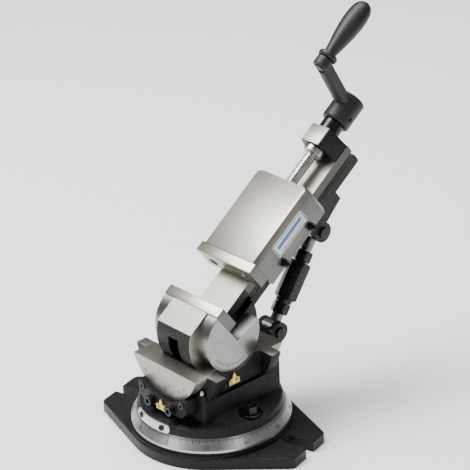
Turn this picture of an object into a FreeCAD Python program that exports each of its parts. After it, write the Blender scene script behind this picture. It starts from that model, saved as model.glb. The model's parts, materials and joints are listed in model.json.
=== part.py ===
import FreeCAD, Part
import math
import os
from FreeCAD import Vector

# Three-way swivel and tilting machine vise. Millimetres, +Z up. The origin is the middle of the base's flat
# underside and +X runs through the two slotted ears. The swivel axis is Z. Pieces from the swivel body
# upwards are drawn square to the swivel body and turned by SWIVEL; the pieces that tilt are drawn along the
# vise bed (X = jaw width, Y = along the bed, Z = out of the bed) from the tilt axis, and tilted by TILT.

# Angles of the rest position, in degrees
SWIVEL = -14.5
TILT = 36.0

# Clearances
FIT = 0.05            # running fit of a shaft in its hole, on the radius
SLIDE = 0.35          # gap between ground curved faces that turn in each other
SEAT = 0.1            # gap under a turning flat seat

# Base casting
RIM_R = 111.0
RIM_T = 15.0
EAR_REACH = 152.0
EAR_HALF = 38.0
EAR_CORNER = 8.0
EAR_SLOT_W = 18.0
EAR_SLOT_END = 111.0
STEP_R = 109.2
STEP_T = 3.4
BOSS_TOP = 38.4
TEE_R = 78.0
TEE_NECK_W = 11.0
TEE_W = 20.0
TEE_Z = 16.0
TEE_H = 11.0
PIVOT_R = 20.0
BASE_HOLLOW_R = 34.0
BASE_HOLLOW_H = 11.0

# Graduated ring on the base
RING_R = 106.6
RING_EDGE_H = 3.6
RING_SEAT_Z = 21.4
RING_TOP_R = 97.8
RING_IN_R = 92.0
RING_SCREW_R = 94.9
RING_SCREW_N = 4

# Swivel body
FLANGE_R = 97.6
FLANGE_TOP_R = 95.6
FLANGE_TOP_Z = 50.0
CONE_TOP_Z = 55.0
BOX_X = 58.0
BOX_FRONT = 62.0
BOX_BACK = 74.0
BOX_TOP_Z = 93.0
BOX_EDGE = 4.0
SPOT_R = 16.0
CLAMP_BOLT_R = 5.0
NUT_AF = 17.0
NUT_H = 11.0
WASHER_R = 13.5
WASHER_T = 4.0

# Index plate on the flange
INDEX_MID = -5.4
INDEX_HALF = 17.5
INDEX_SCREW = 13.1
INDEX_W = 10.8
INDEX_T = 2.0
INDEX_HEAD_R = 4.0
INDEX_HEAD_H = 2.8
INDEX_SPOT = 0.9
INDEX_Z = 44.4

# Saddle that rolls in the swivel body about an axis along Y
ROLL_Z = 139.2
ROLL_DISC_R = 63.4
ROLL_DISC_Y = 76.3
DRUM_R = 81.0
DRUM_Y = 56.0
SADDLE_TOP = 120.0
LUG_X = 79.0
LUG_Y = 40.0
WALL_X = 53.5

# Roll clamp bar in front of the swivel body
BAR_X = 46.0
BAR_T = 21.0
BAR_LOW = 61.0
BAR_TOP = 88.0
ROLL_SCREW_X = 20.0
ROLL_SCREW_Z = 68.0
ROLL_SCREW_GRIP = 5.3
CAP_R = 6.5
CAP_H = 8.5
CAP_SHANK_R = 4.0
LOCK_SCREW_X = 38.5
LOCK_SCREW_Z = 80.5
LOCK_SCREW_R = 5.2

# Tilt axis and the round parts about it
AXIS_Z = 151.4
NOSE_R = 59.0
NOSE_X = 32.0
TILT_DISC_R = 45.8
TILT_DISC_X = 51.0

# Vise bed and fixed jaw
BED_X = 27.0
BED_TOP = 12.4
BED_LOW = -22.0
BED_END = 300.0
BED_GROOVE_TOP = -0.6
BED_GROOVE_H = 8.6
BED_GROOVE_DEPTH = 6.0
JAW_TOP = 47.9
JAW_X = 51.0
PLATE_T = 14.4
SEAM = 0.4              # gap beside the jaw plate, seen as a fine line
FIXED_FACE = 16.4
DISC_CUT_LOW = -9.0
DISC_CUT_SLOPE = 9.0
PLATE_SCREW_X = 31.0
PLATE_SCREW_Z = 27.5
PLATE_SCREW_HEAD_R = 6.6
PLATE_SCREW_HEAD_H = 8.0
PLATE_SCREW_R = 4.0
PLATE_SCREW_L = 20.0
NOSE_SLOT_W = 19.0
NOSE_SLOT_DEPTH = 14.0
NOSE_TEE_W = 30.0
NOSE_TEE_H = 9.0
NOSE_SLOT_STOP = 10.0

# Movable jaw
MOVABLE_FACE = 73.4
BLOCK_END = 210.4
BLOCK_LOW = -1.2
BLOCK_CHAMFER = 6.0
KEEPER_T = 7.6
KEEPER_OUT = 42.0
GIB_T = 2.6
GIB_SCREW_R = 3.0
GIB_SCREW_Y = (118.7, 178.7)
GIB_SCREW_Z = 5.6
NUT_R = 13.0
NUT_L = 34.0
NUT_START = 172.0
JAW_CLOSE = 56.5

# Name plate
NAME_START = 118.0
NAME_END = 182.0
NAME_MID_Z = 29.2
NAME_H = 23.0
NAME_T = 0.8
NAME_CORNER = 4.0

# Lead screw, bearing block and crank
SCREW_Z = 30.0
SCREW_R = 8.0
SCREW_START = 121.0
SHAFT_R = 10.0
COLLAR_R = 14.0
COLLAR_L = 8.5
OUTER_COLLAR_R = 15.0
BEARING_START = 272.0
BEARING_END = 299.0
BEARING_TOP_X = 17.5
BEARING_LOW_X = 26.0
BUSH_R = 13.0
HUB_R = 19.8
HUB_START = 316.0
HUB_L = 42.0
ARM_ROOT = 28.0
ARM_RISE = 84.0
ARM_SHIFT = 10.0
ARM_W = 20.0
KNOB_EYE_R = 11.5
KNOB_EYE_L = 14.0
SPINDLE_R = 5.0
GRIP_GAP = 0.6
GRIP_L = 94.0
GRIP_R = 15.0
GRIP_FLANGE_R = 13.6
GRIP_FLANGE_L = 8.0
GRIP_NECK_R = 8.3
GRIP_BEAD = 3.4

# Support strut between the saddle and the bed
STRUT_LOW_Y = 112.5
STRUT_LOW_Z = 102.1
STRUT_TOP_Y = 200.2
STRUT_TOP_Z = -60.0
EYE_R = 14.2
EYE_X = 8.3
STRUT_PIN_R = 5.0
OPEN_PIVOT_GAP = 2.2
CHEEK_X = 16.5
CHEEK_GAP = 0.4
ROD_R = 8.0
TURN_AF = 28.0
TURN_L = 59.0
TURN_NECK_R = 11.5
TURN_NECK_L = 5.0
STRUT_NUT_AF = 22.0
STRUT_NUT_L = 15.5
TURN_START = 39.0
ROD_ENGAGE = 20.0


# ---- drawing helpers ----

def box(x0, x1, y0, y1, z0, z1):
    return Part.makeBox(x1 - x0, y1 - y0, z1 - z0, Vector(x0, y0, z0))


def rod(radius, start, direction, length):
    return Part.makeCylinder(radius, length, Vector(*start), Vector(*direction))


def tube(outer, inner, start, direction, length):
    return rod(outer, start, direction, length).cut(rod(inner, start, direction, length))


def hexagon(flats, start, direction, length, twist=0.0):
    """A hexagonal bar that starts at a point and runs along a direction."""
    corner = flats / math.sqrt(3.0)
    points = []
    for k in range(7):
        a = math.radians(60.0 * k + twist)
        points.append(Vector(corner * math.cos(a), corner * math.sin(a), 0))
    bar = Part.Face(Part.makePolygon(points)).extrude(Vector(0, 0, length))
    turn = FreeCAD.Rotation(Vector(0, 0, 1), Vector(*direction))
    bar.Placement = FreeCAD.Placement(Vector(*start), turn)
    return bar.copy()


def plate(points, thickness, lift):
    """An outline of straight sides, as a plate; lift turns a flat point and a height into a place."""
    corners = [lift(a, b, 0.0) for a, b in points]
    face = Part.Face(Part.makePolygon(corners + corners[:1]))
    return face.extrude(lift(0, 0, thickness).sub(lift(0, 0, 0)))


def revolved(points, origin, axis, radial):
    """A solid turned from points given as (distance along the axis, radius)."""
    along = Vector(*axis)
    out = Vector(*radial)
    base = Vector(*origin)
    corners = [base + along * a + out * r for a, r in points]
    return Part.Face(Part.makePolygon(corners + corners[:1])).revolve(base, along, 360)


def soften(shape, size, wanted, bevel=False):
    """Round, or bevel, the edges whose middle point is wanted."""
    edges = []
    for edge in shape.Edges:
        middle = edge.valueAt((edge.FirstParameter + edge.LastParameter) / 2.0)
        if wanted(middle, edge):
            edges.append(edge)
    if not edges:
        return shape
    return shape.makeChamfer(size, edges) if bevel else shape.makeFillet(size, edges)


def is_upright(edge):
    return edge.BoundBox.ZLength > 0.9 * edge.Length and edge.Length > 1.0


def turned(shape, degrees, centre=(0, 0, 0), axis=(0, 0, 1)):
    copy = shape.copy()
    copy.rotate(Vector(*centre), Vector(*axis), degrees)
    return copy


def on_swivel(shape):
    return turned(shape, SWIVEL)


def on_vise(shape):
    """From the vise's own frame, about the tilt axis, to its place on the tilted and swivelled saddle."""
    copy = turned(shape, TILT, axis=(1, 0, 0))
    copy.translate(Vector(0, 0, AXIS_Z))
    return on_swivel(copy)


def both_sides(shape):
    return [shape, shape.mirror(Vector(0, 0, 0), Vector(1, 0, 0))]


def group(shapes):
    return Part.makeCompound(shapes)


def socket_screw(start, direction, head_r, head_h, shank_r, shank_l):
    """A socket head cap screw: start is the seat of the head, direction points out through the head."""
    d = Vector(*direction)
    seat = Vector(*start)
    screw = Part.makeCylinder(head_r, head_h, seat, d)
    screw = screw.fuse(Part.makeCylinder(shank_r, shank_l + 0.5, seat - d * shank_l, d))
    key = hexagon(head_r * 0.95, tuple(seat + d * (head_h * 0.45)), direction, head_h)
    screw = soften(screw, head_r * 0.12, lambda m, e: abs((m - seat).dot(d) - head_h) < 0.01)
    return screw.cut(key).removeSplitter()


# ---- base ----

def ear_outline():
    corner = math.hypot(EAR_REACH, EAR_HALF)
    angle = math.atan2(EAR_HALF, EAR_REACH) + math.acos(RIM_R / corner)
    touch = (RIM_R * math.cos(angle), RIM_R * math.sin(angle))
    return [touch, (EAR_REACH, EAR_HALF), (EAR_REACH, -EAR_HALF), (touch[0], -touch[1]), (0, 0)]


def ear_slot():
    slot_r = EAR_SLOT_W / 2.0
    centre = EAR_SLOT_END + slot_r
    slot = rod(slot_r, (centre, 0, -1), (0, 0, 1), RIM_T + 2)
    return slot.fuse(box(centre, EAR_REACH + 1, -slot_r, slot_r, -1, RIM_T + 1))


def base_casting():
    ear = plate(ear_outline(), RIM_T, lambda a, b, h: Vector(a, b, h))
    ear = soften(ear, EAR_CORNER, lambda m, e: is_upright(e) and m.x > EAR_REACH - 1)
    body = rod(RIM_R, (0, 0, 0), (0, 0, 1), RIM_T).fuse([ear, turned(ear, 180)])
    body = body.removeSplitter()
    body = soften(body, 2.0, lambda m, e: abs(m.z - RIM_T) < 0.01)
    seat_h = RING_SEAT_Z - RIM_T
    steps = rod(STEP_R, (0, 0, RIM_T - 1), (0, 0, 1), STEP_T + 1)
    steps = steps.fuse(rod(RING_R + 0.8, (0, 0, RIM_T - 1), (0, 0, 1), seat_h + 1))
    steps = steps.fuse(rod(RING_IN_R - FIT, (0, 0, RIM_T - 1), (0, 0, 1), BOSS_TOP - RIM_T + 1))
    body = body.fuse(steps).removeSplitter()
    body = body.cut([ear_slot(), turned(ear_slot(), 180)])
    neck = (TEE_R - TEE_NECK_W / 2.0, TEE_R + TEE_NECK_W / 2.0)
    wide = (TEE_R - TEE_W / 2.0, TEE_R + TEE_W / 2.0)
    body = body.cut(tube(neck[1], neck[0], (0, 0, TEE_Z), (0, 0, 1), BOSS_TOP))
    body = body.cut(tube(wide[1], wide[0], (0, 0, TEE_Z), (0, 0, 1), TEE_H))
    body = body.cut(rod(PIVOT_R, (0, 0, -1), (0, 0, 1), BOSS_TOP + 2))
    body = body.cut(rod(BASE_HOLLOW_R, (0, 0, -1), (0, 0, 1), BASE_HOLLOW_H + 1))
    return body.cut([ring_screw_hole(k) for k in range(RING_SCREW_N)])


def ring_screw_place(k):
    a = math.radians(45.0 + 360.0 * k / RING_SCREW_N)
    return RING_SCREW_R * math.cos(a), RING_SCREW_R * math.sin(a)


def ring_screw_hole(k):
    x, y = ring_screw_place(k)
    return rod(1.6, (x, y, RING_SEAT_Z - 4.5), (0, 0, 1), 20)


def ring_screws():
    screws = []
    for k in range(RING_SCREW_N):
        x, y = ring_screw_place(k)
        head = Part.makeCone(1.6, 2.6, 1.2, Vector(x, y, BOSS_TOP - 1.5))
        screws.append(rod(1.6, (x, y, RING_SEAT_Z - 4), (0, 0, 1), BOSS_TOP - RING_SEAT_Z + 2.6).fuse(head))
    return group(screws)


def graduated_ring():
    section = [(RING_SEAT_Z, RING_IN_R), (RING_SEAT_Z, RING_R), (RING_SEAT_Z + RING_EDGE_H, RING_R),
               (BOSS_TOP - 0.1, RING_TOP_R), (BOSS_TOP - 0.1, RING_IN_R)]
    ring = revolved(section, (0, 0, 0), (0, 0, 1), (1, 0, 0))
    holes = []
    for k in range(RING_SCREW_N):
        x, y = ring_screw_place(k)
        holes.append(rod(1.6, (x, y, RING_SEAT_Z - 1), (0, 0, 1), 20))
        holes.append(Part.makeCone(1.6, 2.85, 1.5, Vector(x, y, BOSS_TOP - 1.5)))
    return ring.cut(holes)


# ---- swivel body ----

def swivel_body():
    seat = BOSS_TOP + SEAT
    section = [(seat, 0), (seat, FLANGE_R), (FLANGE_TOP_Z - 1.5, FLANGE_TOP_R), (FLANGE_TOP_Z, FLANGE_TOP_R - 1.8),
               (CONE_TOP_Z, BOX_FRONT + 4), (CONE_TOP_Z, 0)]
    flange = revolved(section, (0, 0, 0), (0, 0, 1), (1, 0, 0))
    shell = box(-BOX_X, BOX_X, -BOX_FRONT, BOX_BACK, seat + 1, BOX_TOP_Z)
    shell = soften(shell, BOX_EDGE, lambda m, e: is_upright(e))
    cradle = rod(DRUM_R + SLIDE, (0, -DRUM_Y - SLIDE, ROLL_Z), (0, 1, 0), 2 * (DRUM_Y + SLIDE))
    rims = rod(ROLL_DISC_R + SLIDE, (0, -ROLL_DISC_Y - 1, ROLL_Z), (0, 1, 0), 2 * ROLL_DISC_Y + 2)
    body = flange.fuse(shell).removeSplitter().cut([cradle, rims])
    spots = []
    for x in (-TEE_R, TEE_R):
        spots.append(rod(SPOT_R, (x, 0, FLANGE_TOP_Z - 1), (0, 0, 1), 60))
        spots.append(rod(CLAMP_BOLT_R + 0.5, (x, 0, 0), (0, 0, 1), 60))
    body = body.cut(spots)
    low = BASE_HOLLOW_H - SEAT
    spigot = rod(PIVOT_R - FIT, (0, 0, low), (0, 0, 1), seat - low + 1)
    body = body.fuse(spigot).removeSplitter()
    body = body.cut(rod(6.0, (0, 0, low - 1), (0, 0, 1), 37))
    for x in (-ROLL_SCREW_X, ROLL_SCREW_X):
        body = body.cut(rod(CAP_SHANK_R, (x, -BOX_FRONT - 1, ROLL_SCREW_Z), (0, 1, 0), 1 + ROLL_SCREW_GRIP))
    return body.cut([index_screw_hole(s) for s in (-1, 1)])


def pivot_washer():
    return tube(28.0, 6.5, (0, 0, BASE_HOLLOW_H - 5.0 - SEAT), (0, 0, 1), 5.0)


def pivot_bolt():
    head = hexagon(18.0, (0, 0, BASE_HOLLOW_H - 10.5 - SEAT), (0, 0, 1), 5.5)
    shank = rod(6.0, (0, 0, BASE_HOLLOW_H - 5.5), (0, 0, 1), 40)
    return head.fuse(shank).removeSplitter()


def swivel_t_bolts():
    bolts = []
    for x in (-TEE_R, TEE_R):
        head = box(x - 9, x + 9, -9, 9, TEE_Z + 2, TEE_Z + TEE_H - 1.5)
        keep = tube(TEE_R + TEE_W / 2.0 - 0.6, TEE_R - TEE_W / 2.0 + 0.6, (0, 0, 0), (0, 0, 1), 60)
        head = head.common(keep)
        top = FLANGE_TOP_Z - 1 + WASHER_T + NUT_H + 3.0
        shank = rod(CLAMP_BOLT_R, (x, 0, TEE_Z + 4), (0, 0, 1), top - TEE_Z - 4)
        shank = soften(shank, 1.2, lambda m, e: abs(m.z - top) < 0.01, True)
        bolts.append(head.fuse(shank).removeSplitter())
    return group(bolts)


def swivel_washers():
    low = FLANGE_TOP_Z - 1
    rings = []
    for x in (-TEE_R, TEE_R):
        ring = tube(WASHER_R, CLAMP_BOLT_R + 0.3, (x, 0, low), (0, 0, 1), WASHER_T)
        rings.append(soften(ring, 1.2, lambda m, e: m.z > low + WASHER_T - 0.01 and
                            e.Length > 2 * math.pi * WASHER_R - 1))
    return group(rings)


def swivel_nuts():
    low = FLANGE_TOP_Z - 1 + WASHER_T
    nuts = []
    for x in (-TEE_R, TEE_R):
        nut = hexagon(NUT_AF, (x, 0, low), (0, 0, 1), NUT_H, 12.0)
        crown = Part.makeCone(NUT_AF * 0.5 + 4.2, NUT_AF * 0.5, NUT_H + 4.2, Vector(x, 0, low))
        nuts.append(nut.common(crown).cut(rod(CLAMP_BOLT_R, (x, 0, low), (0, 0, 1), NUT_H)))
    return group(nuts)


def flange_radius(z):
    seat = BOSS_TOP + SEAT
    share = (z - seat) / (FLANGE_TOP_Z - 1.5 - seat)
    return FLANGE_R + (FLANGE_TOP_R - FLANGE_R) * share


def flange_lean():
    return math.degrees(math.atan2(FLANGE_R - FLANGE_TOP_R, FLANGE_TOP_Z - 1.5 - BOSS_TOP - SEAT))


def index_place(shape):
    """From flat in the XZ plane, facing -Y at the flange, to its angle round the flange."""
    return turned(shape, INDEX_MID)


def index_plate():
    lean = flange_lean()
    strip = turned(box(-RIM_R, RIM_R, -RIM_R - 20, 0, -INDEX_W / 2.0, INDEX_W / 2.0), -lean, axis=(1, 0, 0))
    reach = RIM_R * 1.4
    half = math.radians(INDEX_HALF)
    r_mid = flange_radius(INDEX_Z)
    fan = plate([(0, 0), (-reach * math.sin(half), -reach * math.cos(half)),
                 (reach * math.sin(half), -reach * math.cos(half))], 100, lambda a, b, h: Vector(a, b, h))
    low = INDEX_Z - INDEX_W / 2.0
    high = INDEX_Z + INDEX_W / 2.0
    outer = Part.makeCone(flange_radius(low) + INDEX_T, flange_radius(high) + INDEX_T, INDEX_W, Vector(0, 0, low))
    inner = Part.makeCone(flange_radius(low), flange_radius(high), INDEX_W, Vector(0, 0, low))
    band = outer.cut(inner)
    body = band.common(fan)
    for side in (-1, 1):
        a = side * half
        start = ((r_mid - 6) * math.sin(a), -(r_mid - 6) * math.cos(a), INDEX_Z)
        direction = (math.sin(a), -math.cos(a), 0)
        body = body.fuse(band.common(rod(INDEX_W / 2.0, start, direction, 12)))
    body = index_place(body.removeSplitter()).cut([index_screw_hole(s) for s in (-1, 1)])
    for side in (-1, 1):
        d = index_screw_line(side)
        body = body.cut(Part.makeCylinder(INDEX_HEAD_R + 0.15, 9, index_screw_seat(side), d))
    return body


def index_screw_line(side):
    a = math.radians(INDEX_MID + side * INDEX_SCREW)
    return Vector(math.sin(a), -math.cos(a), 0)


def index_screw_seat(side):
    return Vector(0, 0, INDEX_Z) + index_screw_line(side) * (flange_radius(INDEX_Z) + INDEX_T - INDEX_SPOT)


def index_screw_hole(side):
    d = index_screw_line(side)
    r_mid = flange_radius(INDEX_Z)
    return Part.makeCylinder(1.9, 20, Vector(0, 0, INDEX_Z) + d * (r_mid - 8), d)


def index_plate_screws():
    screws = []
    for side in (-1, 1):
        d = index_screw_line(side)
        seat = index_screw_seat(side)
        screws.append(socket_screw(tuple(seat), tuple(d), INDEX_HEAD_R, INDEX_HEAD_H, 1.85, 7))
    return group(screws)


# ---- roll clamp ----

def roll_clamp_bar():
    outline = [(-BAR_X, BAR_TOP), (-BAR_X, BAR_LOW + 9), (9 - BAR_X, BAR_LOW), (BAR_X - 9, BAR_LOW),
               (BAR_X, BAR_LOW + 9), (BAR_X, BAR_TOP)]
    bar = plate(outline, BAR_T, lambda x, z, h: Vector(x, -BOX_FRONT - h, z))
    bar = bar.cut(rod(ROLL_DISC_R + SLIDE, (0, -BOX_FRONT - BAR_T - 1, ROLL_Z), (0, 1, 0), BAR_T + 2))
    for x in (-ROLL_SCREW_X, ROLL_SCREW_X):
        bar = bar.cut(rod(CAP_SHANK_R, (x, -BOX_FRONT - BAR_T - 1, ROLL_SCREW_Z), (0, 1, 0), BAR_T + 2))
    for x in (-LOCK_SCREW_X, LOCK_SCREW_X):
        bar = bar.cut(rod(LOCK_SCREW_R, (x, -BOX_FRONT - BAR_T - 1, LOCK_SCREW_Z), (0, 1, 0), 9))
    return bar


def roll_clamp_screws():
    front = -BOX_FRONT - BAR_T
    screws = []
    for x in (-ROLL_SCREW_X, ROLL_SCREW_X):
        screws.append(socket_screw((x, front, ROLL_SCREW_Z), (0, -1, 0), CAP_R, CAP_H, CAP_SHANK_R,
                                    BAR_T + ROLL_SCREW_GRIP - 0.2))
    return group(screws)


def roll_lock_screws():
    front = -BOX_FRONT - BAR_T
    screws = []
    for x in (-LOCK_SCREW_X, LOCK_SCREW_X):
        plug = rod(LOCK_SCREW_R, (x, front + 8, LOCK_SCREW_Z), (0, -1, 0), 9.6)
        plug = soften(plug, 0.7, lambda m, e: m.y < front - 1.5)
        plug = plug.cut(hexagon(4.2, (x, front + 3, LOCK_SCREW_Z), (0, -1, 0), 9))
        screws.append(plug)
    return group(screws)


def corner_oilers():
    """Ball oilers on the two front corners of the swivel body's box."""
    caps = []
    for x in (-BOX_X + 5.5, BOX_X - 5.5):
        y = -BOX_FRONT + 2.9
        stem = rod(2.8, (x, y, BOX_TOP_Z), (0, 0, 1), 3.4)
        stem = soften(stem, 1.0, lambda m, e: m.z > BOX_TOP_Z + 3)
        caps.append(stem.fuse(Part.makeSphere(2.1, Vector(x, y, BOX_TOP_Z + 3.6))).removeSplitter())
    return group(caps)


def pointer_shape():
    """A stepped pointer in the XZ plane, with its tip at the top and its back on Y = 0."""
    outline = [(-9, 0), (9, 0), (9, 6.5), (5.5, 8.5), (2.6, 8.5), (2.6, 12.0), (0, 16.5), (-2.6, 12.0),
               (-2.6, 8.5), (-5.5, 8.5), (-9, 6.5)]
    body = plate(outline, 2.6, lambda a, b, h: Vector(a, -h, b))
    return body.cut([rod(1.6, (x, 1, 4), (0, -1, 0), 5) for x in (-5.2, 5.2)])


def pointer_screws_shape():
    screws = []
    for x in (-5.2, 5.2):
        head = rod(2.5, (x, -2.6, 4), (0, -1, 0), 1.5)
        head = soften(head, 0.5, lambda m, e: m.y < -4.0)
        head = head.cut(box(x - 3, x + 3, -5, -3.3, 3.6, 4.4))
        screws.append(head.fuse(rod(1.55, (x, 4, 4), (0, -1, 0), 7)).removeSplitter())
    return group(screws)


ROLL_POINTER_AT = (0.0, -BOX_FRONT - BAR_T, BAR_LOW - 0.5)
TILT_POINTER_AT = (WALL_X, -6.0, AXIS_Z - TILT_DISC_R - 16.6)


def at_front(shape):
    copy = shape.copy()
    copy.translate(Vector(*ROLL_POINTER_AT))
    return copy


def at_side(shape):
    copy = turned(shape, 90)
    copy.translate(Vector(*TILT_POINTER_AT))
    return copy


def pointer_holes(place):
    return [place(rod(1.6, (x, 4.6, 4), (0, -1, 0), 6)) for x in (-5.2, 5.2)]


# ---- saddle ----

def saddle_casting():
    drum = rod(DRUM_R, (0, -DRUM_Y, ROLL_Z), (0, 1, 0), 2 * DRUM_Y)
    rims = rod(ROLL_DISC_R, (0, -ROLL_DISC_Y, ROLL_Z), (0, 1, 0), 2 * ROLL_DISC_Y)
    body = drum.fuse(rims).common(box(-LUG_X, LUG_X, -200, 200, 0, SADDLE_TOP))
    for pocket in both_sides(box(WALL_X, LUG_X + 5, -LUG_Y, LUG_Y, 40, SADDLE_TOP + 5)):
        body = body.cut(soften(pocket, 4.0, lambda m, e: is_upright(e) and abs(m.x) < WALL_X + 1))
    cradle = rod(TILT_DISC_R + SLIDE, (-WALL_X - 1, 0, AXIS_Z), (1, 0, 0), 2 * WALL_X + 2)
    trough = rod(NOSE_R + 0.8, (-NOSE_X - 0.5, 0, AXIS_Z), (1, 0, 0), 2 * NOSE_X + 1)
    body = body.cut([cradle, trough])
    body = body.cut(box(-32, 32, -44, 44, 50, 76))
    body = body.cut(pointer_holes(at_side))
    for x in (-62, 62):
        body = body.cut(rod(3.0, (x, LUG_Y - 1, 101), (0, 1, 0), 13))
    return body.cut(bracket_holes()).removeSplitter()


def bracket_holes():
    return [rod(3.0, (x, ROLL_DISC_Y + 1, z), (0, -1, 0), 15) for x, z in bracket_screw_places()]


def bracket_screw_places():
    return [(-22, 94), (22, 94), (-22, 110), (22, 110)]


def tilt_clamp_screws():
    screws = []
    for x in (-62, 62):
        screws.append(socket_screw((x, LUG_Y, 101), (0, -1, 0), 4.2, 3.4, 3.0, 11))
    return group(screws)


def strut_bracket():
    low = Vector(0, STRUT_LOW_Y, STRUT_LOW_Z)
    back = ROLL_DISC_Y
    foot = box(-30, 30, back, back + 8, 86, 118)
    foot = soften(foot, 5.0, lambda m, e: e.BoundBox.YLength > 7.9)
    web = box(-CHEEK_X, CHEEK_X, back + 1, low.y, low.z - 11, low.z + 11)
    boss = rod(EYE_R, (-CHEEK_X, low.y, low.z), (1, 0, 0), 2 * CHEEK_X)
    body = foot.fuse([web, boss]).removeSplitter()
    gap = box(-EYE_X - CHEEK_GAP, EYE_X + CHEEK_GAP, low.y - EYE_R - 4, low.y + 40, low.z - 40, low.z + 40)
    body = body.cut(gap)
    body = body.cut(rod(STRUT_PIN_R, (-60, low.y, low.z), (1, 0, 0), 120))
    for x, z in bracket_screw_places():
        body = body.cut(rod(3.0, (x, back - 1, z), (0, 1, 0), 20))
    return body


def bracket_screws():
    screws = []
    for x, z in bracket_screw_places():
        screws.append(socket_screw((x, ROLL_DISC_Y + 8, z), (0, 1, 0), 5.0, 5.0, 3.0, 20))
    return group(screws)


def strut_pin():
    """A pin with a round head on one side and a clip groove on the other, along X through the origin."""
    length = 2 * CHEEK_X + 3.4
    pin = rod(STRUT_PIN_R, (-CHEEK_X - 3.4, 0, 0), (1, 0, 0), length)
    head = rod(STRUT_PIN_R + 2.6, (CHEEK_X, 0, 0), (1, 0, 0), 3.2)
    head = soften(head, 1.0, lambda m, e: m.x > CHEEK_X + 3.0)
    groove = tube(STRUT_PIN_R + 1, STRUT_PIN_R - 0.8, (-CHEEK_X - 1.4, 0, 0), (1, 0, 0), 1.4)
    return pin.fuse(head).cut(groove).removeSplitter()


def pin_clip():
    clip = tube(STRUT_PIN_R + 2.2, STRUT_PIN_R - 0.8, (-CHEEK_X - 1.3, 0, 0), (1, 0, 0), 1.2)
    return clip.cut(box(-CHEEK_X - 2, -CHEEK_X, -2.2, 2.2, -20, 0))


def moved(shape, x, y, z):
    copy = shape.copy()
    copy.translate(Vector(x, y, z))
    return copy


# ---- vise body, in its own frame ----

def nose():
    drum = rod(NOSE_R, (-NOSE_X, 0, 0), (1, 0, 0), 2 * NOSE_X)
    drum = drum.cut(box(-100, 100, -200, 200, JAW_TOP, 200))
    drum = drum.cut(box(-100, 100, FIXED_FACE - PLATE_T, 200, BED_TOP, 200))
    for side in both_sides(box(BED_X, 100, FIXED_FACE - PLATE_T - SEAM, 200, keeper_low() - 0.5, 200)):
        drum = drum.cut(side)
    return drum


def keeper_low():
    return BLOCK_LOW - 0.05 - KEEPER_T


def nose_slot():
    """The T-slot that runs round the front of the nose."""
    cutter = tube(NOSE_R + 1, NOSE_R - NOSE_SLOT_DEPTH, (-NOSE_SLOT_W / 2.0, 0, 0), (1, 0, 0), NOSE_SLOT_W)
    deep = NOSE_R - NOSE_SLOT_DEPTH + NOSE_TEE_H
    wide = tube(deep, NOSE_R - NOSE_SLOT_DEPTH, (-NOSE_TEE_W / 2.0, 0, 0), (1, 0, 0), NOSE_TEE_W)
    front = box(-50, 50, -100, 0, -100, JAW_TOP - NOSE_SLOT_STOP)
    return cutter.fuse(wide).common(front)


def groove_start():
    return block_start() + 1 - JAW_CLOSE - 1.0


def bed():
    rail = box(-BED_X, BED_X, 0, BED_END, BED_LOW, BED_TOP)
    rail = soften(rail, 4.0, lambda m, e: e.BoundBox.XLength > 2 * BED_X - 1 and m.y > BED_END - 1 and m.z < 0)
    return rail


def bed_grooves():
    low = BED_GROOVE_TOP - BED_GROOVE_H
    return both_sides(box(BED_X - BED_GROOVE_DEPTH, 60, groove_start(), BED_END + 1, low, BED_GROOVE_TOP))


def strut_lug():
    y, z = STRUT_TOP_Y, STRUT_TOP_Z
    outline = [(y - 12, BED_LOW + 1), (y + 50, BED_LOW + 1), (y + 50, BED_LOW - 26), (y + 11, z + 6), (y - 13, z + 2)]
    web = plate(outline, 2 * CHEEK_X, lambda a, b, h: Vector(h - CHEEK_X, a, b))
    boss = rod(EYE_R, (-CHEEK_X, y, z), (1, 0, 0), 2 * CHEEK_X)
    lug = web.fuse(boss).removeSplitter()
    half = EYE_X + CHEEK_GAP
    reach = EYE_R + 3.0
    gap = rod(reach, (-half, y, z), (1, 0, 0), 2 * half)
    gap = gap.fuse(box(-half, half, y - 60, y, z - reach, z + reach))
    gap = gap.fuse(box(-half, half, y - 60, y, z, z + 26).common(box(-60, 60, y - 60, y - 6, z, z + 26)))
    lug = lug.cut(gap)
    return lug.cut(rod(STRUT_PIN_R, (-60, y, z), (1, 0, 0), 120))


def plate_screw_places():
    return [(-PLATE_SCREW_X + 8, PLATE_SCREW_Z), (PLATE_SCREW_X - 8, PLATE_SCREW_Z)]


def vise_body():
    body = nose().fuse(bed()).removeSplitter()
    body = body.fuse(strut_lug()).removeSplitter()
    body = body.cut(nose_slot())
    for side in bed_grooves():
        body = body.cut(side)
    body = body.cut(box(-15, 15, 90, 180, BED_LOW - 1, BED_LOW + 12))
    for x, z in plate_screw_places():
        body = body.cut(rod(PLATE_SCREW_R, (x, FIXED_FACE, z), (0, -1, 0), PLATE_T + 14))
    for x in (-14, 14):
        y = (BEARING_START + BEARING_END) / 2.0
        body = body.cut(rod(3.5, (x, y, BED_LOW - 1), (0, 0, 1), 60))
        body = body.cut(rod(6.0, (x, y, BED_LOW - 1), (0, 0, 1), 9))
    return body


def tilt_disc():
    """Right-hand trunnion disc: a short drum whose upper back part is cut away beside the jaw plate."""
    disc = rod(TILT_DISC_R, (NOSE_X, 0, 0), (1, 0, 0), TILT_DISC_X - NOSE_X)
    disc = soften(disc, 0.6, lambda m, e: m.x > TILT_DISC_X - 0.01, True)
    y = FIXED_FACE - PLATE_T - SEAM
    slope = math.tan(math.radians(DISC_CUT_SLOPE))
    outline = [(y, 100), (y, DISC_CUT_LOW), (y + 100, DISC_CUT_LOW - 100 * slope), (y + 100, 100)]
    notch = plate(outline, 100, lambda a, b, h: Vector(h, a, b))
    return disc.cut(notch)


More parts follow.
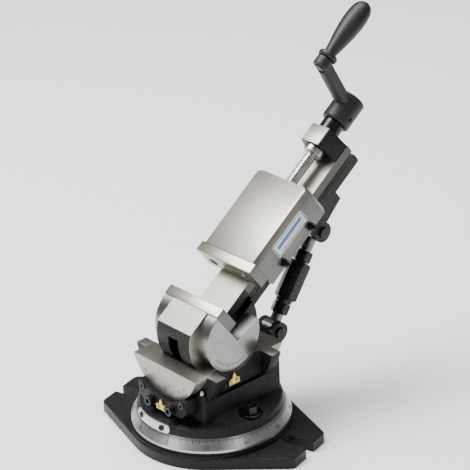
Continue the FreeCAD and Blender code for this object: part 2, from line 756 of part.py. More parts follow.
def jaw_plate(face, back):
    low, high = min(face, back), max(face, back)
    body = box(-JAW_X, JAW_X, low, high, BED_TOP + 0.05, JAW_TOP)
    return soften(body, 0.6, lambda m, e: e.BoundBox.XLength > 90 and m.z > JAW_TOP - 1, True)


def plate_hole(x, z, face, inward):
    """A counterbored screw hole through a jaw plate; inward is +1 or -1 along the bed."""
    hole = rod(PLATE_SCREW_R, (x, face - inward, z), (0, inward, 0), PLATE_T + 2)
    sink = rod(PLATE_SCREW_HEAD_R + 0.3, (x, face - inward, z), (0, inward, 0), PLATE_SCREW_HEAD_H + 2)
    return hole.fuse(sink)


def fixed_jaw_plate():
    body = jaw_plate(FIXED_FACE, FIXED_FACE - PLATE_T)
    return body.cut([plate_hole(x, z, FIXED_FACE, -1) for x, z in plate_screw_places()])


def plate_screw(x, z, face, inward):
    seat = (x, face + inward * (PLATE_SCREW_HEAD_H + 1), z)
    return socket_screw(seat, (0, -inward, 0), PLATE_SCREW_HEAD_R, PLATE_SCREW_HEAD_H - 1, PLATE_SCREW_R,
                        PLATE_SCREW_L - 4)


def fixed_plate_screws():
    return group([plate_screw(x, z, FIXED_FACE, -1) for x, z in plate_screw_places()])


def bearing_block():
    outline = [(-BEARING_LOW_X, BED_TOP), (BEARING_LOW_X, BED_TOP), (BEARING_LOW_X, BED_TOP + 4),
               (BEARING_TOP_X, JAW_TOP - 3), (BEARING_TOP_X - 3, JAW_TOP), (3 - BEARING_TOP_X, JAW_TOP),
               (-BEARING_TOP_X, JAW_TOP - 3), (-BEARING_LOW_X, BED_TOP + 4)]
    body = plate(outline, BEARING_END - BEARING_START, lambda a, b, h: Vector(a, BEARING_START + h, b))
    body = body.cut(rod(BUSH_R, (0, BEARING_START - 1, SCREW_Z), (0, 1, 0), 60))
    y = (BEARING_START + BEARING_END) / 2.0
    return body.cut([rod(3.5, (x, y, BED_TOP - 1), (0, 0, 1), 9.5) for x in (-14, 14)])


def bearing_block_screws():
    y = (BEARING_START + BEARING_END) / 2.0
    screws = []
    for x in (-14, 14):
        screws.append(socket_screw((x, y, BED_LOW + 8), (0, 0, -1), 5.5, 5.5, 3.5, BED_TOP - BED_LOW - 1))
    return group(screws)


def bearing_bush():
    length = BEARING_END - BEARING_START
    return tube(BUSH_R, SHAFT_R + FIT, (0, BEARING_START, SCREW_Z), (0, 1, 0), length)


# ---- lead screw and crank, in the vise's frame ----

def lead_screw():
    collar_start = BEARING_START - COLLAR_L - 0.2
    body = rod(SCREW_R, (0, SCREW_START, SCREW_Z), (0, 1, 0), collar_start - SCREW_START + 1)
    body = soften(body, 1.5, lambda m, e: m.y < SCREW_START + 0.1, True)
    shaft = rod(SHAFT_R, (0, collar_start, SCREW_Z), (0, 1, 0), HUB_START + 2 - collar_start)
    stub = rod(SCREW_R - 1, (0, HUB_START, SCREW_Z), (0, 1, 0), HUB_L - 2)
    return body.fuse([shaft, stub]).removeSplitter()


def thrust_collar():
    start = BEARING_START - COLLAR_L - 0.1
    body = tube(COLLAR_R, SHAFT_R, (0, start, SCREW_Z), (0, 1, 0), COLLAR_L)
    return soften(body, 1.0, lambda m, e: e.Length > 2 * math.pi * COLLAR_R - 1)


def retaining_ring():
    start = BEARING_END + 0.1
    body = tube(OUTER_COLLAR_R, SHAFT_R, (0, start, SCREW_Z), (0, 1, 0), HUB_START - 0.5 - start)
    return soften(body, 1.0, lambda m, e: e.Length > 2 * math.pi * OUTER_COLLAR_R - 1)


def arm_profile(width_share):
    """Sections of the crank arm from the hub to the handle's eye: place along the bed, height, width."""
    steps = [(0.0, 1.1), (0.3, 1.0), (0.65, 0.97), (1.0, 0.95)]
    return [(ARM_SHIFT * s, ARM_RISE * s, ARM_W * w * width_share) for s, w in steps]


def crank_arm():
    hub = rod(HUB_R, (0, HUB_START, SCREW_Z), (0, 1, 0), HUB_L)
    hub = soften(hub, 3.0, lambda m, e: e.Length > 2 * math.pi * HUB_R - 1)
    mid = HUB_START + ARM_ROOT
    wires = []
    for shift, rise, width in arm_profile(1.0):
        z = SCREW_Z + rise
        centre = Vector(0, mid + shift, z)
        shape = Part.Ellipse(centre, width / 2.0 + 2.0, width / 2.0)
        shape.rotate(FreeCAD.Placement(centre, FreeCAD.Rotation(Vector(0, 0, 1), 0), Vector(0, 0, 0)))
        wires.append(Part.Wire(shape.toShape()))
    arm = Part.makeLoft(wires, True, False)
    eye_y = mid + ARM_SHIFT - KNOB_EYE_L / 2.0
    eye = rod(KNOB_EYE_R, (0, eye_y, SCREW_Z + ARM_RISE), (0, 1, 0), KNOB_EYE_L)
    eye = soften(eye, 2.0, lambda m, e: e.Length > 2 * math.pi * KNOB_EYE_R - 1)
    body = hub.fuse([arm, eye])
    high = SCREW_Z + ARM_RISE
    body = body.cut(rod(SPINDLE_R + 3.2, (0, eye_y - 12, high), (0, 1, 0), 12))
    body = body.cut(rod(GRIP_FLANGE_R + 1, (0, eye_y + KNOB_EYE_L, high), (0, 1, 0), 12))
    body = body.cut(rod(SCREW_R - 1, (0, HUB_START - 1, SCREW_Z), (0, 1, 0), HUB_L - 1))
    body = body.cut(rod(SHAFT_R, (0, HUB_START - 1, SCREW_Z), (0, 1, 0), 3))
    body = body.cut(rod(SPINDLE_R, (0, eye_y - 60, SCREW_Z + ARM_RISE), (0, 1, 0), 120))
    return body.cut(rod(3.0, (HUB_R + 1, HUB_START + 12, SCREW_Z), (-1, 0, 0), HUB_R - SCREW_R + 2))


def crank_set_screw():
    body = rod(3.0, (SCREW_R - 1, HUB_START + 12, SCREW_Z), (1, 0, 0), HUB_R - SCREW_R)
    return body.cut(hexagon(3.0, (HUB_R - 4, HUB_START + 12, SCREW_Z), (1, 0, 0), 6))


def eye_end():
    return HUB_START + ARM_ROOT + ARM_SHIFT + KNOB_EYE_L / 2.0


def handle_spindle():
    z = SCREW_Z + ARM_RISE
    start = eye_end() - KNOB_EYE_L
    body = rod(SPINDLE_R, (0, start, z), (0, 1, 0), KNOB_EYE_L + GRIP_GAP + GRIP_L - 12)
    head = rod(SPINDLE_R + 1.8, (0, start - 1.8, z), (0, 1, 0), 1.8)
    head = soften(head, 0.9, lambda m, e: m.y < start - 1.7)
    return body.fuse(head).removeSplitter()


def handle_grip():
    """The turned handle: a round flange at the eye, a slim neck and a grip that is full near the free end."""
    z = SCREW_Z + ARM_RISE
    start = eye_end() + GRIP_GAP
    shape = [(0.25, 0.70), (0.42, 0.87), (0.58, 0.97), (0.70, 1.0), (0.82, 0.95), (0.91, 0.82), (0.97, 0.57),
             (0.995, 0.30)]
    neck = start + GRIP_FLANGE_L + 1.5
    points = [Vector(GRIP_NECK_R, neck, z)]
    for share, width in shape:
        points.append(Vector(GRIP_R * width, start + GRIP_L * share, z))
    curve = Part.BSplineCurve()
    curve.interpolate(points)
    foot, last = Vector(0, start, z), Vector(0, start + GRIP_L, z)
    rim = Vector(GRIP_FLANGE_R, start, z)
    step = Vector(GRIP_FLANGE_R, start + GRIP_FLANGE_L, z)
    under = Vector(GRIP_NECK_R, start + GRIP_FLANGE_L, z)
    tip = Vector(points[-1].x, start + GRIP_L, z)
    edges = [Part.makeLine(foot, rim), Part.makeLine(rim, step), Part.makeLine(step, under),
             Part.makeLine(under, points[0]), curve.toShape(), Part.makeLine(points[-1], tip),
             Part.makeLine(tip, last), Part.makeLine(last, foot)]
    body = Part.Face(Part.Wire(edges)).revolve(foot, Vector(0, 1, 0), 360)
    body = soften(body, GRIP_BEAD, lambda m, e: e.Length > 2 * math.pi * GRIP_FLANGE_R - 1 and m.y < neck)
    return body.cut(rod(SPINDLE_R + 2 * FIT, (0, start - 1, z), (0, 1, 0), GRIP_L - 10))


# ---- movable jaw, in the vise's frame ----

def block_start():
    return MOVABLE_FACE + PLATE_T + 0.02


def movable_jaw():
    start = block_start()
    outline = [(-JAW_X, BLOCK_LOW), (JAW_X, BLOCK_LOW), (JAW_X, JAW_TOP - BLOCK_CHAMFER),
               (JAW_X - BLOCK_CHAMFER, JAW_TOP), (BLOCK_CHAMFER - JAW_X, JAW_TOP), (-JAW_X, JAW_TOP - BLOCK_CHAMFER)]
    body = plate(outline, BLOCK_END - start, lambda a, b, h: Vector(a, start + h, b))
    body = soften(body, 4.0, lambda m, e: m.y > BLOCK_END - 0.01 and e.BoundBox.YLength < 0.1
                  and m.z < JAW_TOP - 1, True)
    body = body.cut(box(-BED_X - 0.3, BED_X + 0.3, start - 1, BLOCK_END + 1, BLOCK_LOW - 1, BED_TOP + 0.05))
    body = body.cut(box(0, BED_X + 0.3 + GIB_T, start + 6, BLOCK_END - 6, BLOCK_LOW - 1, BED_TOP + 0.05))
    body = body.cut(rod(SCREW_R + 1, (0, start + 6, SCREW_Z), (0, 1, 0), 200))
    body = body.cut(rod(NUT_R, (0, NUT_START, SCREW_Z), (0, 1, 0), 200))
    body = body.cut([rod(GIB_SCREW_R, (JAW_X + 1, y, GIB_SCREW_Z), (-1, 0, 0), 30) for y in GIB_SCREW_Y])
    for x in (-PLATE_SCREW_X, PLATE_SCREW_X):
        body = body.cut(rod(PLATE_SCREW_R, (x, start - 1, PLATE_SCREW_Z), (0, 1, 0), 15))
    return body.cut([keeper_hole(x, y) for x, y in keeper_screw_places()])


def movable_jaw_plate():
    body = jaw_plate(MOVABLE_FACE, MOVABLE_FACE + PLATE_T)
    return body.cut([plate_hole(x, PLATE_SCREW_Z, MOVABLE_FACE, 1) for x in (-PLATE_SCREW_X, PLATE_SCREW_X)])


def movable_plate_screws():
    return group([plate_screw(x, PLATE_SCREW_Z, MOVABLE_FACE, 1) for x in (-PLATE_SCREW_X, PLATE_SCREW_X)])


def jaw_nut():
    return tube(NUT_R, SCREW_R + 2 * FIT, (0, NUT_START, SCREW_Z), (0, 1, 0), NUT_L)


def keeper_screw_places():
    places = []
    for x in (-36.0, 36.0):
        for y in (96.0, 148.0, 200.0):
            places.append((x, y))
    return places


def keeper_hole(x, y):
    return rod(3.0, (x, y, BLOCK_LOW - 1), (0, 0, 1), 9)


def keeper_plates():
    start = block_start() + 1
    high = BLOCK_LOW - 0.05
    inner = BED_X - BED_GROOVE_DEPTH + 0.8
    body = box(inner, KEEPER_OUT, start, BLOCK_END - 2, high - KEEPER_T, high)
    step = box(inner - 1, BED_X + 0.4, start - 1, BLOCK_END, high - 0.2, high + 1)
    body = soften(body.cut(step), 2.0, lambda m, e: e.BoundBox.YLength > 100 and m.x > KEEPER_OUT - 1
                  and m.z < high - 1)
    plates = []
    for side in both_sides(body):
        for x, y in keeper_screw_places():
            side = side.cut(rod(3.0, (x, y, high - 30), (0, 0, 1), 40))
            side = side.cut(rod(5.2, (x, y, high - KEEPER_T - 1), (0, 0, 1), 5.0))
        plates.append(side)
    return group(plates)


def keeper_screws():
    seat = BLOCK_LOW - 0.05 - KEEPER_T + 4.0
    return group([socket_screw((x, y, seat), (0, 0, -1), 5.0, 3.8, 3.0, 11) for x, y in keeper_screw_places()])


def gib_strip():
    start = block_start() + 6.5
    return box(BED_X + 0.1, BED_X + 0.3 + GIB_T - 0.1, start, BLOCK_END - 6.5, 0.2, BED_TOP - 0.3)


def gib_screws():
    inner = BED_X + 0.3 + GIB_T - 0.1
    screws = []
    for y in GIB_SCREW_Y:
        body = rod(GIB_SCREW_R, (inner, y, GIB_SCREW_Z), (1, 0, 0), JAW_X + 9.0 - inner)
        body = soften(body, 0.8, lambda m, e: m.x > JAW_X + 8.5, True)
        screws.append(body.cut(hexagon(3.2, (JAW_X + 5, y, GIB_SCREW_Z), (1, 0, 0), 9)))
    return group(screws)


def gib_lock_nuts():
    nuts = []
    for y in GIB_SCREW_Y:
        nut = hexagon(10.0, (JAW_X, y, GIB_SCREW_Z), (1, 0, 0), 5.0, 15)
        nuts.append(nut.cut(rod(GIB_SCREW_R, (JAW_X - 1, y, GIB_SCREW_Z), (1, 0, 0), 10)))
    return group(nuts)


def name_plate():
    low = NAME_MID_Z - NAME_H / 2.0
    body = box(JAW_X, JAW_X + NAME_T, NAME_START, NAME_END, low, low + NAME_H)
    return soften(body, NAME_CORNER, lambda m, e: e.BoundBox.XLength > NAME_T * 0.9 and e.Length < NAME_T * 1.1)


# ---- strut, along its own axis from the lower pivot at the origin towards +Y ----

def strut_ends():
    tilt = math.radians(TILT)
    top_y = STRUT_TOP_Y * math.cos(tilt) - STRUT_TOP_Z * math.sin(tilt)
    top_z = AXIS_Z + STRUT_TOP_Y * math.sin(tilt) + STRUT_TOP_Z * math.cos(tilt)
    return (STRUT_LOW_Y, STRUT_LOW_Z), (top_y, top_z)


def strut_length():
    low, top = strut_ends()
    return math.hypot(top[0] - low[0], top[1] - low[1])


def on_strut(shape):
    low, top = strut_ends()
    angle = math.degrees(math.atan2(top[1] - low[1], top[0] - low[0]))
    copy = turned(shape, angle, axis=(1, 0, 0))
    copy.translate(Vector(0, low[0], low[1]))
    return on_swivel(copy)


def eye_rod(bore, length):
    eye = rod(EYE_R, (-EYE_X, 0, 0), (1, 0, 0), 2 * EYE_X)
    neck = rod(ROD_R, (0, EYE_R - 5, 0), (0, 1, 0), length - EYE_R + 5)
    neck = soften(neck, 1.2, lambda m, e: m.y > length - 0.1, True)
    return eye.fuse(neck).removeSplitter().cut(rod(bore, (-60, 0, 0), (1, 0, 0), 120))


def strut_lower_rod():
    return eye_rod(STRUT_PIN_R + FIT, TURN_START + ROD_ENGAGE)


def strut_upper_rod():
    reach = strut_length() - TURN_START - TURN_L + ROD_ENGAGE
    body = turned(eye_rod(STRUT_PIN_R + OPEN_PIVOT_GAP, reach), 180)
    return moved(body, 0, strut_length(), 0)


def round_nut(start, flats, length):
    nut = hexagon(flats, (0, start, 0), (0, 1, 0), length, 30)
    crown = rod(flats * 0.5 * 1.1, (0, start, 0), (0, 1, 0), length)
    crown = soften(crown, 1.6, lambda m, e: e.Length > 30, True)
    return nut.common(crown).cut(rod(ROD_R + 2 * FIT, (0, start - 1, 0), (0, 1, 0), length + 2))


def strut_lower_nut():
    return round_nut(TURN_START - STRUT_NUT_L - 0.5, STRUT_NUT_AF, STRUT_NUT_L)


def strut_upper_nut():
    return round_nut(TURN_START + TURN_L + 0.5, STRUT_NUT_AF, STRUT_NUT_L)


def turnbuckle():
    """A hexagonal body with a short round neck at its lower end."""
    start = TURN_START + TURN_NECK_L
    length = TURN_L - TURN_NECK_L
    body = hexagon(TURN_AF, (0, start, 0), (0, 1, 0), length, 30)
    crown = rod(TURN_AF * 0.5 * 1.13, (0, start, 0), (0, 1, 0), length)
    crown = soften(crown, 2.5, lambda m, e: e.Length > 30, True)
    neck = rod(TURN_NECK_R, (0, TURN_START, 0), (0, 1, 0), TURN_NECK_L + 5)
    body = body.common(crown).fuse(neck).removeSplitter()
    return body.cut(rod(ROD_R + 2 * FIT, (0, TURN_START - 1, 0), (0, 1, 0), TURN_L + 2))


def at_strut_low(shape):
    return moved(shape, 0, STRUT_LOW_Y, STRUT_LOW_Z)


def at_strut_top(shape):
    return moved(shape, 0, STRUT_TOP_Y, STRUT_TOP_Z)


BASE_PIECES = {
    "base_casting": base_casting,
    "graduated_ring": graduated_ring,
    "ring_screws": ring_screws,
}

SWIVEL_PIECES = {
    "swivel_body": swivel_body,
    "pivot_bolt": pivot_bolt,
    "pivot_washer": pivot_washer,
    "index_plate": index_plate,
    "index_plate_screws": index_plate_screws,
    "swivel_t_bolts": swivel_t_bolts,
    "swivel_washers": swivel_washers,
    "swivel_nuts": swivel_nuts,
    "roll_clamp_bar": lambda: roll_clamp_bar().cut(pointer_holes(at_front)),
    "roll_clamp_screws": roll_clamp_screws,
    "roll_lock_screws": roll_lock_screws,
    "corner_oilers": corner_oilers,
    "roll_pointer": lambda: at_front(pointer_shape()),
    "roll_pointer_screws": lambda: at_front(pointer_screws_shape()),
    "saddle_casting": saddle_casting,
    "tilt_clamp_screws": tilt_clamp_screws,
    "tilt_pointer": lambda: at_side(pointer_shape()),
    "tilt_pointer_screws": lambda: at_side(pointer_screws_shape()),
    "strut_bracket": strut_bracket,
    "bracket_screws": bracket_screws,
    "strut_lower_pin": lambda: at_strut_low(strut_pin()),
    "strut_lower_clip": lambda: at_strut_low(pin_clip()),
}

VISE_PIECES = {
    "vise_body": vise_body,
    "tilt_disc_right": tilt_disc,
    "tilt_disc_left": lambda: both_sides(tilt_disc())[1],
    "fixed_jaw_plate": fixed_jaw_plate,
    "fixed_plate_screws": fixed_plate_screws,
    "bearing_block": bearing_block,
    "bearing_block_screws": bearing_block_screws,
    "bearing_bush": bearing_bush,
    "strut_upper_pin": lambda: at_strut_top(strut_pin()),
    "strut_upper_clip": lambda: at_strut_top(pin_clip()),
    "lead_screw": lead_screw,
    "thrust_collar": thrust_collar,
    "retaining_ring": retaining_ring,
    "crank_arm": crank_arm,
    "crank_set_screw": crank_set_screw,
    "handle_spindle": handle_spindle,
    "handle_grip": handle_grip,
    "movable_jaw": movable_jaw,
    "movable_jaw_plate": movable_jaw_plate,
    "movable_plate_screws": movable_plate_screws,
    "jaw_nut": jaw_nut,
    "keeper_plates": keeper_plates,
    "keeper_screws": keeper_screws,
    "gib_strip": gib_strip,
    "gib_screws": gib_screws,
    "gib_lock_nuts": gib_lock_nuts,
    "name_plate": name_plate,
}

STRUT_PIECES = {
    "strut_lower_rod": strut_lower_rod,
    "strut_lower_nut": strut_lower_nut,
    "turnbuckle": turnbuckle,
    "strut_upper_nut": strut_upper_nut,
    "strut_upper_rod": strut_upper_rod,
}


def write_all():
    os.makedirs("parts", exist_ok=True)
    for pieces, place in ((BASE_PIECES, lambda s: s), (SWIVEL_PIECES, on_swivel), (VISE_PIECES, on_vise),
                          (STRUT_PIECES, on_strut)):
        for name, make in pieces.items():
            shape = place(make())
            state = "ok" if shape.isValid() and shape.Volume > 0 else "BAD"
            print(name, state, "solids", len(shape.Solids), "volume %.0f" % shape.Volume)
            shape.exportStep("parts/" + name + ".step")


write_all()
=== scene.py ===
import json
import math

import bmesh
import bpy
from mathutils import Matrix, Vector


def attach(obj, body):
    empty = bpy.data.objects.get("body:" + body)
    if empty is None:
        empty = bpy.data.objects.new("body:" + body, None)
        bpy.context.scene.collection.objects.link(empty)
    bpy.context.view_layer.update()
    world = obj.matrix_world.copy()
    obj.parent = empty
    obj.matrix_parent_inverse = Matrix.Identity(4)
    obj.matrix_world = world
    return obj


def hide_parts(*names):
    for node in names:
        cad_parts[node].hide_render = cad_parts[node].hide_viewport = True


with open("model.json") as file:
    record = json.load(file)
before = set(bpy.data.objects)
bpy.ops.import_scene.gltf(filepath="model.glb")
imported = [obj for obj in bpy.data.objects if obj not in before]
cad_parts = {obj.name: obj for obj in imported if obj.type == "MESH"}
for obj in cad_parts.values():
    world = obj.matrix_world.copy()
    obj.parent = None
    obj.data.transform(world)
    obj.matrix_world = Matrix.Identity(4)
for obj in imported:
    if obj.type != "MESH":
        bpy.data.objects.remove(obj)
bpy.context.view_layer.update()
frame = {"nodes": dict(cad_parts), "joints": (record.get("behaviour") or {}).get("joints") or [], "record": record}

# A three-way machine vise: graduated base, swivel body, rolling saddle, tilting bed with a
# sliding jaw, and a turnbuckle strut. Lengths are in metres in the CAD frame.

MM = 0.001
JOINTS = {joint["name"]: joint for joint in frame["joints"]}


# ---- the frames that pieces are drawn in ----

def frame_of(across, along, origin):
    """A matrix whose X runs across, whose Y runs along, and whose Z is square to both."""
    x, y = Vector(across).normalized(), Vector(along).normalized()
    z = x.cross(y)
    matrix = Matrix((x, y, z)).transposed().to_4x4()
    matrix.translation = Vector(origin)
    return matrix


SWIVEL = frame_of(JOINTS["vise_tilt"]["axis"], JOINTS["saddle_roll"]["axis"], (0, 0, 0))
VISE = frame_of(JOINTS["vise_tilt"]["axis"], JOINTS["screw_spin"]["axis"],
                JOINTS["vise_tilt"]["pos_m"])
ROW = Matrix.Identity(4)
ROLL_Z = JOINTS["saddle_roll"]["pos_m"][2]
TILT_Z = JOINTS["vise_tilt"]["pos_m"][2]


def span(node, matrix=ROW):
    """The lowest and highest corners of a CAD node, measured in a frame."""
    inverse = matrix.inverted()
    points = [inverse @ v.co for v in frame["nodes"][node].data.vertices]
    low = Vector(min(p[k] for p in points) for k in range(3))
    high = Vector(max(p[k] for p in points) for k in range(3))
    return low, high


# ---- shader maths ----

class Reading:
    """A number that changes over a surface. Arithmetic on it adds Math nodes to its finish."""

    def __init__(self, finish, socket):
        self.finish = finish
        self.socket = socket

    def maths(self, operation, *values, clamp=False):
        settings = {"operation": operation, "use_clamp": clamp}
        made = self.finish.node("ShaderNodeMath", settings, *values)
        return Reading(self.finish, made.outputs[0])

    def __add__(self, other):
        return self.maths("ADD", self, other)

    __radd__ = __add__

    def __sub__(self, other):
        return self.maths("SUBTRACT", self, other)

    def __rsub__(self, other):
        return self.maths("SUBTRACT", other, self)

    def __mul__(self, other):
        return self.maths("MULTIPLY", self, other)

    __rmul__ = __mul__

    def __abs__(self):
        return self.maths("ABSOLUTE", self)

    def __pow__(self, power):
        return self.maths("POWER", self, power)

    def over(self, edge, blur):
        """1 where the reading is past the edge, 0 below it, blurred over a width."""
        return self.maths("MULTIPLY_ADD", self - edge, 1.0 / blur, 0.5, clamp=True)

    def under(self, edge, blur):
        return 1 - self.over(edge, blur)

    def higher(self, other):
        return self.maths("MAXIMUM", self, other)

    def hypot(self, other):
        return (self * self + other * other) ** 0.5


class Finish:
    """One material. Its changing values are read from object coordinates, in a chosen frame."""

    def __init__(self, name, matrix=ROW, **fixed):
        self.material = bpy.data.materials.new(name)
        self.material.use_nodes = True
        self.tree = self.material.node_tree
        self.shader = self.tree.nodes["Principled BSDF"]
        self.matrix = matrix
        self.spot = self.node("ShaderNodeTexCoord").outputs["Object"]
        for socket, value in fixed.items():
            self.shader.inputs[socket.replace("_", " ")].default_value = value

    def node(self, kind, settings=None, *values, **named):
        made = self.tree.nodes.new(kind)
        for key, value in (settings or {}).items():
            setattr(made, key, value)
        for key, value in list(enumerate(values)) + list(named.items()):
            if value is None:
                continue
            socket = made.inputs[key.replace("_", " ") if isinstance(key, str) else key]
            self.feed(socket, value)
        return made

    def feed(self, socket, value):
        if isinstance(value, Reading):
            value = value.socket
        if isinstance(value, bpy.types.NodeSocket):
            self.tree.links.new(value, socket)
        else:
            socket.default_value = value

    def set(self, name, value):
        self.feed(self.shader.inputs[name], value)

    def coordinate(self, axis):
        """The distance from the frame's origin along one of its axes."""
        direction = self.matrix.col[axis].to_3d()
        dot = self.node("ShaderNodeVectorMath", {"operation": "DOT_PRODUCT"}, self.spot,
                        tuple(direction))
        return Reading(self, dot.outputs["Value"]) - self.matrix.translation.dot(direction)

    def local(self, stretch=(1, 1, 1)):
        """The object's own coordinates, turned into the frame and stretched along its axes."""
        parts = [self.coordinate(k) * stretch[k] for k in range(3)]
        return self.node("ShaderNodeCombineXYZ", None, *parts).outputs[0]

    def noise(self, scale, detail=3.0, roughness=0.55, stretch=None):
        place = self.local(stretch) if stretch else self.spot
        made = self.node("ShaderNodeTexNoise", None, Vector=place, Scale=scale, Detail=detail,
                         Roughness=roughness)
        return Reading(self, made.outputs["Fac"])

    def blend(self, share, first, second):
        """A colour between two colours or colour sockets."""
        made = self.node("ShaderNodeMix", {"data_type": "RGBA"})
        colours = [s for s in made.inputs if s.type == "RGBA"]
        self.feed(made.inputs[0], share)
        for socket, colour in zip(colours, (first, second)):
            plain = not isinstance(colour, bpy.types.NodeSocket)
            self.feed(socket, (*colour[:3], 1.0) if plain else colour)
        return [s for s in made.outputs if s.type == "RGBA"][0]

    def relief(self, height, distance, strength=1.0):
        """Small surface relief; the height goes from 0 to 1 and the distance is in metres."""
        bump = self.node("ShaderNodeBump", None, Strength=strength, Distance=distance,
                         Height=height)
        self.set("Normal", bump.outputs["Normal"])


# ---- finishes ----

GROUND = (0.42, 0.39, 0.335)
GROUND_DARK = (0.34, 0.325, 0.29)
PAINT = (0.006, 0.006, 0.0065)
PAINT_WORN = (0.042, 0.042, 0.045)
PAINT_DEEP = (0.0016, 0.0016, 0.0018)
OIL = (0.20, 0.17, 0.13)
# Partly painted shade: the side faces of the jaw and plates are made darker; their duller milling finish is real.
MILLED_AND_SHADED = (0.135, 0.142, 0.140)
BRIGHT_ARC = (0.34, 0.335, 0.32)
# Painted shade: a dark tone for the bare side faces of the bed.
BED_SIDE_SHADE = (0.085, 0.088, 0.088)
JAW_HALF = 51.0 * MM
GRINDING_ALONG, GRINDING_ACROSS = 18.0, 2200.0
TURNING_LINES = 2600.0
CAST_RELIEF = 1.3 * MM
CRISP, SOFT = 0.2 * MM, 0.3 * MM


def grinding(finish, direction):
    """Fine lines left by a grinding wheel that ran along one axis of the frame."""
    stretch = [GRINDING_ACROSS] * 3
    stretch[direction] = GRINDING_ALONG
    return finish.noise(1.0, 2.0, 0.5, stretch)


def ground_values(finish, lines):
    """Colour, roughness and relief of ground steel."""
    cloud = finish.noise(32.0, 4.0, 0.6)
    stain = finish.noise(150.0, 3.0, 0.65).over(0.66, 0.16)
    colour = finish.blend(cloud.over(0.5, 0.5), GROUND_DARK, GROUND)
    colour = finish.blend((lines - 0.35) * 0.5, colour, GROUND)
    colour = finish.blend(stain * 0.30, colour, OIL)
    rough = 0.27 + lines * 0.14 + stain * 0.14 + cloud * 0.05
    return colour, rough, lines


def cast_values(finish):
    """Colour, roughness and relief of rough cast iron under black paint."""
    grit = finish.noise(1100.0, 3.0, 0.65)
    lumps = finish.noise(330.0, 4.0, 0.62)
    swell = finish.noise(60.0, 2.0, 0.5)
    chalk = finish.noise(620.0, 4.0, 0.75).over(0.585, 0.07)
    colour = finish.blend(lumps.over(0.52, 0.5), PAINT_DEEP, PAINT)
    colour = finish.blend(chalk * 0.50, colour, PAINT_WORN)
    rough = 0.20 + grit * 0.16 + chalk * 0.10
    return colour, rough, grit * 0.5 + lumps * 0.8 + swell * 0.4


def ground_steel(name, matrix, direction):
    """Ground steel; the side faces have a duller milling finish and are painted darker as painted shade."""
    finish = Finish(name, matrix, Metallic=1.0)
    colour, rough, lines = ground_values(finish, grinding(finish, direction))
    # painted shade on the side faces, together with their real duller milling finish
    milled_shaded_sides = abs(finish.coordinate(0)).over(JAW_HALF - 0.25 * MM, CRISP)
    colour = finish.blend(milled_shaded_sides * 0.85, colour, MILLED_AND_SHADED)
    rough = rough + milled_shaded_sides * 0.10
    finish.set("Base Color", colour)
    finish.set("Roughness", rough)
    finish.relief(lines, 0.03 * MM, 0.5)
    return finish.material


def turned_steel(name, matrix, axis, centre=(0, 0, 0), colour=GROUND, rough=0.24):
    """Bright steel with fine rings about an axis of the frame."""
    finish = Finish(name, matrix, Metallic=1.0)
    others = [k for k in range(3) if k != axis]
    spread = [finish.coordinate(k) - centre[k] for k in others]
    radius = spread[0].hypot(spread[1])
    length = finish.coordinate(axis)
    place = finish.node("ShaderNodeCombineXYZ", None, radius * TURNING_LINES,
                        length * TURNING_LINES, 0.0).outputs[0]
    lines = finish.node("ShaderNodeTexNoise", None, Vector=place, Scale=1.0, Detail=2.0)
    rings = Reading(finish, lines.outputs["Fac"])
    cloud = finish.noise(60.0, 3.0, 0.6)
    darker = tuple(0.72 * c for c in colour)
    finish.set("Base Color", finish.blend(cloud.over(0.5, 0.6), darker, colour))
    finish.set("Roughness", rough + rings * 0.10 + cloud * 0.06)
    finish.relief(rings, 0.02 * MM, 0.5)
    return finish.material


def cast_paint(name, matrix=ROW, machined=None, direction=1, shaded_sides=None):
    """Black paint on a rough casting, bare and ground where the machined mask says.

    The sides mask picks bare faces that are painted darker, as painted shade.
    """
    finish = Finish(name, matrix, Specular_IOR_Level=0.22)
    colour, rough, relief = cast_values(finish)
    if machined is None:
        finish.set("Base Color", colour)
        finish.set("Roughness", rough)
        finish.relief(relief, CAST_RELIEF)
        return finish.material
    bare = machined(finish)
    steel, smooth, lines = ground_values(finish, grinding(finish, direction))
    if shaded_sides:
        # painted shade: the bare side faces of the bed are darkened
        steel = finish.blend(1 - shaded_sides(finish), BED_SIDE_SHADE, steel)
    finish.set("Base Color", finish.blend(bare, colour, steel))
    finish.set("Metallic", bare)
    finish.set("Roughness", rough * (1 - bare) + smooth * bare)
    finish.relief(relief * (1 - bare) + lines * bare * 0.02, CAST_RELIEF)
    return finish.material


# The limits of the bare faces, a little inside the solids' own sizes.
SADDLE_TOP = 119.7 * MM
SADDLE_END = 56.2 * MM
CRADLE_RADIUS = 60.3 * MM
CRADLE_HALF = 53.2 * MM
NOSE_TOP = 47.6 * MM
NOSE_RADIUS = 59.5 * MM
NOSE_HALF = 31.6 * MM
BED_TOP = 12.2 * MM
BED_START = 1.9 * MM
BED_HALF = 26.6 * MM
WAY_HALF = 20 * MM
WAY_UNDERSIDE = -9.4 * MM
WAY_START = 62 * MM
BLOCK_TOP = 47.2 * MM


def saddle_machined(finish):
    """Bare: the flat top, the rims and the cradle arcs."""
    x, y, z = (finish.coordinate(k) for k in range(3))
    top = z.over(SADDLE_TOP, CRISP)
    drum_end = abs(y).over(SADDLE_END, SOFT)
    radius = y.hypot(z - TILT_Z)
    arc = radius.under(CRADLE_RADIUS, SOFT) * abs(x).under(CRADLE_HALF, CRISP)
    return top.higher(drum_end).higher(arc)


